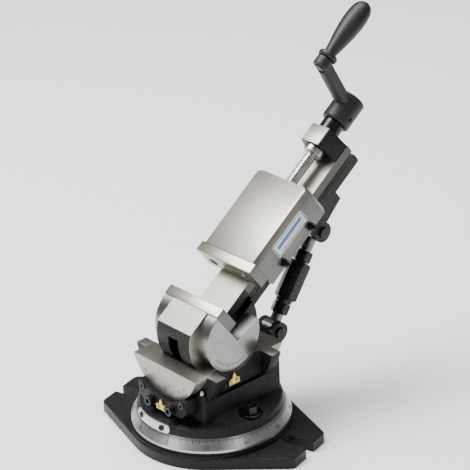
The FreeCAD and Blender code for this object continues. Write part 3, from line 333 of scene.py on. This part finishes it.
def nose_machined(finish):
    """Bare: the flat tops of nose and bed, the drum's flat sides and the bed's guide ways."""
    across, along, up = (finish.coordinate(k) for k in range(3))
    radius = along.hypot(up)
    top = up.over(NOSE_TOP, CRISP)
    bed_top = up.over(BED_TOP, CRISP) * along.over(BED_START, CRISP)
    sides = abs(across).over(NOSE_HALF, CRISP) * radius.under(NOSE_RADIUS, SOFT)
    sides = sides * along.under(BED_START, SOFT)
    ways = abs(across).over(WAY_HALF, CRISP) * up.over(WAY_UNDERSIDE, SOFT)
    ways = ways * along.over(WAY_START, SOFT)
    return top.higher(bed_top).higher(sides).higher(ways)


def bed_sides(finish):
    """The side faces of the bed, past the nose, where painted shade darkens the bare steel."""
    return abs(finish.coordinate(0)).over(BED_HALF, SOFT) * finish.coordinate(1).over(2 * MM, SOFT)


def block_machined(finish):
    """Bare: only the top of the bearing block."""
    return finish.coordinate(2).over(BLOCK_TOP, CRISP)


def printed(name, colour):
    """Satin printing ink on the name plate."""
    finish = Finish(name, VISE)
    cloud = finish.noise(300.0, 2.0, 0.5)
    finish.set("Base Color", finish.blend(cloud, tuple(0.9 * c for c in colour), colour))
    finish.set("Roughness", 0.30 + cloud * 0.12)
    return finish.material


def screw_black(name, matrix=ROW, tint=(0.018, 0.020, 0.025), rough=0.24):
    finish = Finish(name, matrix, Metallic=0.85, Coat_Weight=0.15)
    wear = finish.noise(300.0, 3.0, 0.6)
    lighter = tuple(c * 2.4 + 0.01 for c in tint)
    finish.set("Base Color", finish.blend(wear.over(0.60, 0.25), tint, lighter))
    finish.set("Roughness", rough + wear * 0.18)
    finish.relief(wear, 0.05 * MM, 0.4)
    return finish.material


def brass(name):
    finish = Finish(name, SWIVEL, Metallic=1.0)
    cloud = finish.noise(260.0, 3.0, 0.6)
    lines = grinding(finish, 0)
    bright, tarnished = (0.78, 0.60, 0.22), (0.46, 0.31, 0.08)
    finish.set("Base Color", finish.blend(cloud.over(0.56, 0.4), bright, tarnished))
    finish.set("Roughness", 0.20 + lines * 0.16 + cloud * 0.10)
    finish.relief(lines, 0.03 * MM, 0.5)
    return finish.material


def gloss_black(name, matrix, tint=(0.010, 0.010, 0.011), rough=0.16, coat=0.6, dents=0.25):
    finish = Finish(name, matrix, Coat_Weight=coat, Coat_Roughness=0.08)
    skin = finish.noise(70.0, 3.0, 0.5)
    grit = finish.noise(500.0, 3.0, 0.6)
    lighter = tuple(2.6 * c for c in tint)
    finish.set("Base Color", finish.blend(grit.over(0.62, 0.25), tint, lighter))
    finish.set("Roughness", rough + skin * 0.10 + grit * 0.08)
    finish.relief(skin * 0.8 + grit * 0.2, dents * MM, 0.7)
    return finish.material


def mark_ink(name):
    """Blackened bottoms of the engraved lines and figures."""
    finish = Finish(name)
    cloud = finish.noise(900.0, 2.0, 0.6)
    finish.set("Base Color", finish.blend(cloud, (0.012, 0.012, 0.012), (0.045, 0.042, 0.038)))
    finish.set("Roughness", 0.55 + cloud * 0.2)
    return finish.material


FINISHES = {
    "base": cast_paint("base_paint"),
    "swivel": cast_paint("swivel_paint", SWIVEL),
    "saddle": cast_paint("saddle_paint_and_ground_faces", SWIVEL, saddle_machined, 0),
    "nose": cast_paint("bed_paint_and_ground_faces", VISE, nose_machined, 1, bed_sides),
    "ring": turned_steel("ring_turned_steel", ROW, 2, colour=(0.55, 0.55, 0.54), rough=0.27),
    "jaw": ground_steel("jaw_ground_steel", VISE, 1),
    "plate": ground_steel("jaw_plate_ground_steel", VISE, 0),
    "disc": turned_steel("disc_turned_steel", VISE, 0, colour=BRIGHT_ARC, rough=0.22),
    "screw": turned_steel("lead_screw_steel", VISE, 1, (0, 0, 30 * MM), (0.62, 0.60, 0.57), 0.20),
    "rod": turned_steel("strut_rod_steel", SWIVEL, 0, colour=(0.22, 0.22, 0.225), rough=0.20),
    "index": turned_steel("index_plate_steel", SWIVEL, 2, colour=(0.80, 0.79, 0.77), rough=0.34),
    "nut": turned_steel("clamp_nut_steel", SWIVEL, 2, (-78 * MM, 0, 0),
                        (0.045, 0.043, 0.040), 0.26),
    "black_screws": screw_black("black_oxide_screws"),
    "brown_screws": screw_black("browned_screws", tint=(0.040, 0.028, 0.020), rough=0.30),
    "brass": brass("brass_pointers"),
    "bronze": turned_steel("bronze_bearing", VISE, 1, (0, 0, 30 * MM), (0.56, 0.40, 0.20), 0.26),
    "crank": gloss_black("crank_black_enamel", VISE, (0.006, 0.006, 0.0065), 0.42, 0.0, 0.5),
    "grip": gloss_black("handle_satin_black", VISE, (0.006, 0.006, 0.0065), 0.40, 0.0, 0.25),
    "strut": screw_black("strut_black_steel", tint=(0.016, 0.016, 0.018), rough=0.26),
    "ink": mark_ink("engraved_marks"),
    "block": cast_paint("bearing_block_paint", VISE, block_machined, 1),
    "collar": screw_black("collar_black_steel", VISE, (0.020, 0.020, 0.023), 0.16),
    "pin": screw_black("pin_black_steel", SWIVEL, (0.014, 0.014, 0.016), 0.22),
    "plate_white": printed("plate_pale_print", (0.85, 0.88, 0.92)),
    "plate_navy": printed("plate_dark_print", (0.012, 0.022, 0.06)),
    "plate_blue": printed("plate_blue_print", (0.06, 0.20, 0.48)),
}

NODE_FINISH = {
    "base": "base_casting",
    "ring": "graduated_ring",
    "black_screws": "ring_screws pivot_bolt index_plate_screws roll_clamp_screws "
                    "tilt_clamp_screws bracket_screws strut_lower_clip strut_upper_clip "
                    "fixed_plate_screws bearing_block_screws movable_plate_screws "
                    "keeper_screws gib_screws gib_lock_nuts",
    "collar": "retaining_ring",
    "block": "bearing_block",
    "pin": "strut_lower_pin strut_upper_pin",
    "plate_white": "name_plate",
    "swivel": "swivel_body roll_clamp_bar strut_bracket",
    "nut": "swivel_t_bolts swivel_washers swivel_nuts",
    "index": "index_plate pivot_washer corner_oilers",
    "brown_screws": "roll_lock_screws",
    "brass": "roll_pointer roll_pointer_screws tilt_pointer tilt_pointer_screws",
    "saddle": "saddle_casting",
    "rod": "strut_lower_rod strut_upper_rod",
    "nose": "vise_body",
    "disc": "tilt_disc_right tilt_disc_left",
    "plate": "fixed_jaw_plate movable_jaw_plate",
    "jaw": "movable_jaw keeper_plates gib_strip",
    "bronze": "bearing_bush jaw_nut",
    "screw": "lead_screw thrust_collar",
    "crank": "crank_arm handle_spindle crank_set_screw",
    "grip": "handle_grip",
    "strut": "strut_lower_nut turnbuckle strut_upper_nut",
}


def dress(thing, finish):
    thing.data.materials.clear()
    thing.data.materials.append(FINISHES[finish])


for finish_name, members in NODE_FINISH.items():
    for member in members.split():
        dress(frame["nodes"][member], finish_name)


# ---- new pieces ----

def piece_from(name, shape, body, finish, smooth=False):
    """Turns a finished bmesh, already in the row frame, into a piece that rides on a body."""
    mesh = bpy.data.meshes.new(name)
    shape.to_mesh(mesh)
    shape.free()
    thing = bpy.data.objects.new(name, mesh)
    bpy.context.scene.collection.objects.link(thing)
    if smooth:
        mesh.shade_smooth()
    dress(thing, finish)
    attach(thing, body)
    return thing


def body_of_node(node):
    bodies = frame["record"]["behaviour"]["bodies"]
    return next(body for body, members in bodies.items() if node in members)


def finish_of(node):
    return next(name for name, members in NODE_FINISH.items() if node in members.split())


MERGE_DISTANCE = 1e-6
FLAT_ANGLE = math.radians(0.5)
SHARP_ANGLE = math.radians(25.0)
CREASE_ANGLE = math.radians(32)


def ease_edges(node, finish, width):
    """A copy of a CAD node with its sharp edges slightly rounded, which stands for the node."""
    shape = bmesh.new()
    shape.from_mesh(frame["nodes"][node].data)
    bmesh.ops.remove_doubles(shape, verts=shape.verts, dist=MERGE_DISTANCE)
    bmesh.ops.dissolve_degenerate(shape, edges=shape.edges, dist=MERGE_DISTANCE)
    bmesh.ops.dissolve_limit(shape, angle_limit=FLAT_ANGLE, verts=shape.verts, edges=shape.edges)
    edges = [e for e in shape.edges if e.is_manifold and e.calc_face_angle(0.0) > SHARP_ANGLE]
    bmesh.ops.bevel(shape, geom=edges, affect="EDGES", offset=width, segments=2, profile=0.5,
                    material=-1, clamp_overlap=True, miter_outer="ARC")
    thing = piece_from("eased_" + node, shape, body_of_node(node), finish)
    thing.data.shade_smooth()
    thing.data.set_sharp_from_angle(angle=CREASE_ANGLE)
    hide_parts(node)
    return thing


# ---- graduations, figures and other marks ----

MARK_DEPTH = 0.10 * MM
FIGURE_SIZE = 1.42      # font size over the height of its figures
INDEX_ANGLE = math.radians(-5.4)
INDEX_REACH = 98.72 * MM
INDEX_RISE, INDEX_RUN = 9.9, 2.0
INDEX_DROP = 1.6 * MM
RING_TICKS = (3.6, 5.0, 6.4)
DISC_TICKS = (2.6, 3.8, 5.0)
ROLL_TICKS = (2.8, 4.2, 5.6)
ROLL_RADIUS = 63.4 * MM
SCALE_MARGIN = 0.9 * MM


def mark(shape, place, width, length):
    """A thin bar that fills one engraved line, along the place's Y and facing its Z."""
    size = Matrix.Diagonal((width, length, MARK_DEPTH, 1))
    bmesh.ops.create_cube(shape, size=1.0, matrix=place @ size)


def figures(shape, text, place, height):
    """Flat figures, made a mesh first, then set in their place."""
    curve = bpy.data.curves.new("figures", "FONT")
    curve.body = text
    curve.size = height * FIGURE_SIZE
    curve.align_x = "CENTER"
    curve.align_y = "CENTER"
    curve.extrude = MARK_DEPTH / 2
    curve.resolution_u = 3
    holder = bpy.data.objects.new("figures", curve)
    bpy.context.scene.collection.objects.link(holder)
    evaluated = holder.evaluated_get(bpy.context.evaluated_depsgraph_get())
    mesh = bpy.data.meshes.new_from_object(evaluated)
    mesh.transform(place)
    shape.from_mesh(mesh)
    bpy.data.objects.remove(holder)
    bpy.data.meshes.remove(mesh)


def placed(right, upward, point, matrix):
    """A frame on a surface: X to the right, Y upwards and Z outwards, given in a larger frame."""
    return matrix @ frame_of(right, upward, point)


def tick_length(degrees, lengths):
    """Short, middle or tall, for a single degree, a five or a ten."""
    short, middle, tall = lengths
    if degrees % 10 == 0:
        return tall * MM
    return (middle if degrees % 5 == 0 else short) * MM


def ring_graduations():
    """Every degree round the ring's sloping face, with a figure every thirty degrees."""
    high = span("graduated_ring")[1]
    outer, top = high.x, high.z
    points = [v.co for v in frame["nodes"]["graduated_ring"].data.vertices]
    rim = max(point.to_2d().length for point in points if point.z > top - MM)
    edge = max(point.z for point in points if point.to_2d().length > outer - MM / 10)
    slope = Vector((rim - outer, top - edge)).normalized()
    shape = bmesh.new()

    def spot(degrees, down):
        a = math.radians(degrees)
        out = Vector((math.sin(a), -math.cos(a), 0))
        point = out * (rim - slope.x * down) + Vector((0, 0, top - slope.y * down))
        upward = out * slope.x + Vector((0, 0, slope.y))
        return placed((math.cos(a), math.sin(a), 0), upward, point, ROW)

    for degrees in range(360):
        length = tick_length(degrees, RING_TICKS)
        width = (0.95 if degrees % 5 == 0 else 0.80) * MM
        mark(shape, spot(degrees, length / 2 + 0.3 * MM), width, length)
    for k in range(12):
        reading = min(30 * k % 180, 180 - 30 * k % 180)
        figures(shape, str(reading), spot(30 * k, 11.2 * MM), 6.0 * MM)
    return piece_from("ring_graduations", shape, "base", "ink")


def index_line():
    """The zero line of the index plate."""
    low, high = span("index_plate", SWIVEL)
    shape = bmesh.new()
    a = INDEX_ANGLE
    out = Vector((math.sin(a), -math.cos(a), 0))
    lean = math.atan2(INDEX_RUN, INDEX_RISE)
    point = out * INDEX_REACH + Vector((0, 0, (low.z + high.z) / 2 - INDEX_DROP))
    upward = -out * math.sin(lean) + Vector((0, 0, math.cos(lean)))
    mark(shape, placed((math.cos(a), math.sin(a), 0), upward, point, SWIVEL), 0.5 * MM, 6.6 * MM)
    return piece_from("index_plate_line", shape, "swivel", "ink")


def disc_graduations():
    """The tilt scale on the right-hand disc, 0 to 90 degrees, read at the brass pointer."""
    low, high = span("tilt_disc_right", VISE)
    face, radius = high.x, -low.y
    shape = bmesh.new()

    def spot(degrees, inward):
        a = math.radians(degrees)
        outward = Vector((0, -math.sin(a), -math.cos(a)))
        point = outward * (radius - inward) + Vector((face, 0, 0))
        return placed(Vector((1, 0, 0)).cross(outward) * -1, -outward, point, VISE)

    for degrees in range(0, 91):
        length = tick_length(degrees, DISC_TICKS)
        mark(shape, spot(degrees, length / 2 + SCALE_MARGIN), 0.34 * MM, length)
    for degrees in range(0, 91, 10):
        figures(shape, str(degrees), spot(degrees, 9.0 * MM), 3.6 * MM)
    return piece_from("tilt_graduations", shape, "vise", "ink")


def roll_graduations():
    """The roll scale on the front rim of the saddle, 45 degrees to each side."""
    face = span("saddle_casting", SWIVEL)[0].y
    shape = bmesh.new()

    def spot(degrees, inward):
        a = math.radians(degrees)
        outward = Vector((math.sin(a), 0, -math.cos(a)))
        point = outward * (ROLL_RADIUS - inward) + Vector((0, face, ROLL_Z))
        return placed((math.cos(a), 0, math.sin(a)), -outward, point, SWIVEL)

    for degrees in range(-45, 46):
        length = tick_length(degrees, ROLL_TICKS)
        mark(shape, spot(degrees, length / 2 + SCALE_MARGIN), 0.42 * MM, length)
    for degrees in range(-45, 46, 15):
        figures(shape, str(abs(degrees)), spot(degrees, 10.0 * MM), 4.2 * MM)
    return piece_from("roll_graduations", shape, "saddle", "ink")


# ---- lead screw with its thread ----

THREAD_PITCH = 4.0 * MM
THREAD_DEPTH = 1.9 * MM
THREAD_FACETS = 36
THREAD_SECTION = ((0.0, 0.0), (0.34, 0.0), (0.46, 1.0), (0.88, 1.0))   # share of pitch, lift
THREAD_CREST = 8.0 * MM
THREAD_ROOT = THREAD_CREST - THREAD_DEPTH
POINT_LENGTH = 1.5 * MM
JOURNAL_RADIUS = 10.0 * MM
STUB_RADIUS = 7.0 * MM
STUB_CHAMFER = 0.6 * MM
OVERLAP = 0.02 * MM


def ring_of(shape, radii, places, centre, turn=1):
    """One ring of corners round the bed's Y axis, from a radius and a place for each corner."""
    corners = []
    for j, (radius, along) in enumerate(zip(radii, places)):
        a = turn * 2 * math.pi * j / THREAD_FACETS
        corner = Vector((radius * math.sin(a), along, centre + radius * math.cos(a)))
        corners.append(shape.verts.new(VISE @ corner))
    return corners


def rings_of(shape, sections, centre):
    """A closed turned body on the bed's Y axis, from (place along, radius) sections."""
    rows = [ring_of(shape, [radius] * THREAD_FACETS, [along] * THREAD_FACETS, centre)
            for along, radius in sections]
    for first, second in zip(rows, rows[1:]):
        for j in range(THREAD_FACETS):
            k = (j + 1) % THREAD_FACETS
            shape.faces.new((first[j], second[j], second[k], first[k]))
    shape.faces.new(rows[0])
    shape.faces.new(list(reversed(rows[-1])))


def threaded_screw():
    """A left-hand trapezoidal thread, then the plain journal and the stub under the crank."""
    low, high = span("lead_screw", VISE)
    centre = (low.z + high.z) / 2
    journal = span("thrust_collar", VISE)[0].y - 0.1 * MM
    hub = span("crank_arm", VISE)[0].y
    shape = bmesh.new()
    start, end = low.y + POINT_LENGTH, journal + 0.5 * MM
    turns = int((end - start) / THREAD_PITCH) + 3
    count = len(THREAD_SECTION)
    rows = []
    for step in range(turns * count):
        share, lift = THREAD_SECTION[step % count]
        places = [start + THREAD_PITCH * (step // count - 1 + share + j / THREAD_FACETS)
                  for j in range(THREAD_FACETS)]
        places = [max(start, min(end, place)) for place in places]
        radius = THREAD_CREST - THREAD_DEPTH * (1 - lift)
        rows.append(ring_of(shape, [radius] * THREAD_FACETS, places, centre, turn=-1))
    for step in range(len(rows) - 1):
        first, second = rows[step], rows[step + 1]
        for j in range(THREAD_FACETS - 1):
            shape.faces.new((first[j], first[j + 1], second[j + 1], second[j]))
        if step + count + 1 < len(rows):
            shape.faces.new((first[-1], rows[step + count][0], rows[step + count + 1][0],
                             second[-1]))
    bmesh.ops.remove_doubles(shape, verts=shape.verts, dist=1e-7)
    bmesh.ops.dissolve_degenerate(shape, edges=shape.edges, dist=1e-7)
    core = THREAD_ROOT + OVERLAP
    rings_of(shape, ((low.y, THREAD_ROOT - 0.8 * MM), (start, core), (end, core)), centre)
    rings_of(shape, ((journal, JOURNAL_RADIUS), (hub + 2 * MM, JOURNAL_RADIUS)), centre)
    rings_of(shape, ((hub + 2 * MM, STUB_RADIUS), (high.y - STUB_CHAMFER, STUB_RADIUS),
                     (high.y, STUB_RADIUS - STUB_CHAMFER)), centre)
    bmesh.ops.recalc_face_normals(shape, faces=shape.faces)
    thing = piece_from("threaded_lead_screw", shape, "screw", "screw", smooth=True)
    thing.data.set_sharp_from_angle(angle=math.radians(28))
    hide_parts("lead_screw")
    return thing


# ---- name plate print ----

def name_plate_print():
    """A dark border with a plain blue band and two rules inside it; no lettering."""
    low, high = span("name_plate", VISE)
    middle_y, middle_z = (low.y + high.y) / 2, (low.z + high.z) / 2
    wide, tall = high.y - low.y, high.z - low.z
    rule, inset = 1.3 * MM, 1.5 * MM

    def print_bars(name, finish, bars):
        shape = bmesh.new()
        for y, z, length, height in bars:
            place = placed((0, 1, 0), (0, 0, 1), (high.x, middle_y + y, middle_z + z), VISE)
            mark(shape, place, length, height)
        return piece_from(name, shape, "jaw", finish)

    border = []
    for sign in (-1, 1):
        border.append((0, sign * (tall / 2 - inset), wide - 2 * inset - 2 * MM, rule))
        border.append((sign * (wide / 2 - inset), 0, rule, tall - 2 * inset - 2 * MM))
    print_bars("name_plate_border", "plate_navy", border)
    print_bars("name_plate_band", "plate_blue", [(0, tall * 0.10, wide * 0.80, tall * 0.26)])
    lines = [(0, -tall * 0.24, wide * 0.80, 0.6 * MM), (0, -tall * 0.33, wide * 0.66, 0.5 * MM)]
    print_bars("name_plate_rules", "plate_navy", lines)


ring_graduations()
index_line()
disc_graduations()
roll_graduations()
threaded_screw()
name_plate_print()
EDGE_WIDTHS = (
    ("fixed_jaw_plate", 0.6), ("movable_jaw_plate", 0.6), ("movable_jaw", 0.8),
    ("bearing_block", 0.7), ("roll_clamp_bar", 1.0), ("turnbuckle", 0.5),
    ("saddle_casting", 0.5), ("swivel_body", 0.8),
)
for eased, edge_width in EDGE_WIDTHS:
    ease_edges(eased, finish_of(eased), edge_width * MM)


# ---- floor, camera and lights ----

FLOOR_TONE = (0.96, 0.96, 0.96, 1)
WORLD_TONE = (1.0, 1.0, 1.0, 1)
WORLD_STRENGTH = 0.17


def stage_setup():
    floor_shape = bmesh.new()
    bmesh.ops.create_grid(floor_shape, x_segments=1, y_segments=1, size=6.0)
    mesh = bpy.data.meshes.new("floor")
    floor_shape.to_mesh(mesh)
    floor_shape.free()
    floor = bpy.data.objects.new("floor", mesh)
    bpy.context.scene.collection.objects.link(floor)
    pale = bpy.data.materials.new("pale_floor")
    pale.use_nodes = True
    shader = pale.node_tree.nodes["Principled BSDF"]
    shader.inputs["Base Color"].default_value = FLOOR_TONE
    shader.inputs["Roughness"].default_value = 0.9
    mesh.materials.append(pale)


def soft_light(name, place, aim, size, watts):
    light = bpy.data.lights.new(name, "AREA")
    light.shape = "RECTANGLE"
    light.size, light.size_y = size
    light.energy = watts
    holder = bpy.data.objects.new(name, light)
    holder.location = place
    holder.rotation_euler = (Vector(aim) - Vector(place)).to_track_quat("-Z", "Y").to_euler()
    bpy.context.scene.collection.objects.link(holder)


CAMERA_AZIMUTH = math.radians(34.2)
CAMERA_HEIGHT = math.radians(26.0)
CAMERA_ROLL = math.radians(2.5)
CAMERA_DISTANCE = 2.9917
CAMERA_SIDE = 30.2 * MM
CAMERA_LIFT = 253.3 * MM
CAMERA_LENS = 172.46
CAMERA_SENSOR = 36.0


def camera_setup():
    """The camera looks along its line of sight, shifted sideways and up square to it."""
    a, e = CAMERA_AZIMUTH, CAMERA_HEIGHT
    ahead = Vector((-math.sin(a) * math.cos(e), math.cos(a) * math.cos(e), -math.sin(e)))
    right = Vector((math.cos(a), math.sin(a), 0))
    up = right.cross(ahead)
    turn = Matrix.Rotation(CAMERA_ROLL, 3, ahead)
    right, up = turn @ right, turn @ up
    place = right * CAMERA_SIDE + up * CAMERA_LIFT - ahead * CAMERA_DISTANCE
    lens = bpy.data.cameras.new("camera")
    lens.lens = CAMERA_LENS
    lens.sensor_width = CAMERA_SENSOR
    lens.clip_end = 50.0
    camera = bpy.data.objects.new("camera", lens)
    turned = Matrix((right, up, -ahead)).transposed().to_4x4()
    turned.translation = place
    camera.matrix_world = turned
    bpy.context.scene.collection.objects.link(camera)
    bpy.context.scene.camera = camera


def world_setup():
    world = bpy.data.worlds.new("studio")
    world.use_nodes = True
    background = world.node_tree.nodes["Background"]
    background.inputs["Color"].default_value = WORLD_TONE
    background.inputs["Strength"].default_value = WORLD_STRENGTH
    bpy.context.scene.world = world


stage_setup()
camera_setup()
world_setup()
soft_light("key", (-1.3, -0.6, 2.7), (0, 0, 0.2), (1.4, 1.4), 120.0)
soft_light("top", (-0.2, 0.8, 3.4), (0, 0.2, 0.0), (2.4, 2.4), 150.0)
soft_light("front", (-0.9, -2.4, 0.8), (0, 0, 0.2), (0.5, 1.0), 13.0)
soft_light("side", (2.0, -0.7, 0.9), (0, 0, 0.25), (0.16, 1.2), 5.0)
